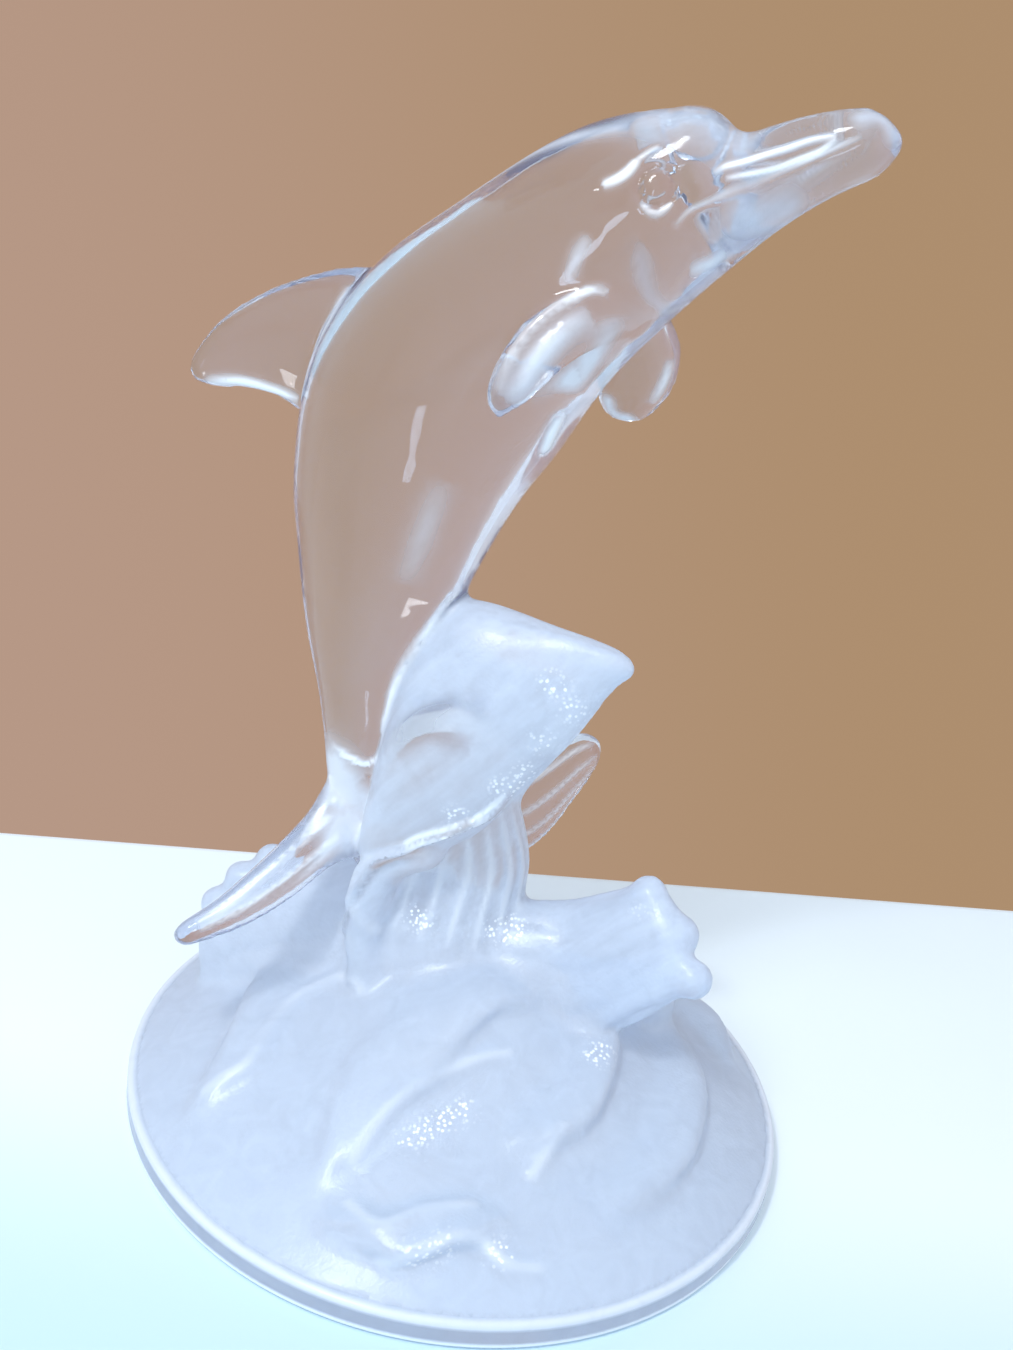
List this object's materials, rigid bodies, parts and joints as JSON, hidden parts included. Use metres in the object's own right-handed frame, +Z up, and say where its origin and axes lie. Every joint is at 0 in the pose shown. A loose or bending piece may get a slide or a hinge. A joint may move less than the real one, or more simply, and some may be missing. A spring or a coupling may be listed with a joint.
{
  "type": "glass dolphin figurine",
  "caption": "Solid cast glass ornament: a dolphin leaping over a curling frosted wave, on a round domed base with a polished rim, which stands on its flat underside.",
  "frame": {"origin": "centre of the round base's underside", "axes": "+Z up from the base, +X the way the dolphin faces, +Y to the dolphin's left"},
  "size_m": [0.1055, 0.1, 0.1481],
  "materials": {
    "cast_glass": "clear fire-polished glass with a faint lavender-blue tint; the waves and the dome are frosted"
  },
  "bodies": {
    "root": {"dolphin_figurine": "cast_glass"}
  },
  "joints": []
}
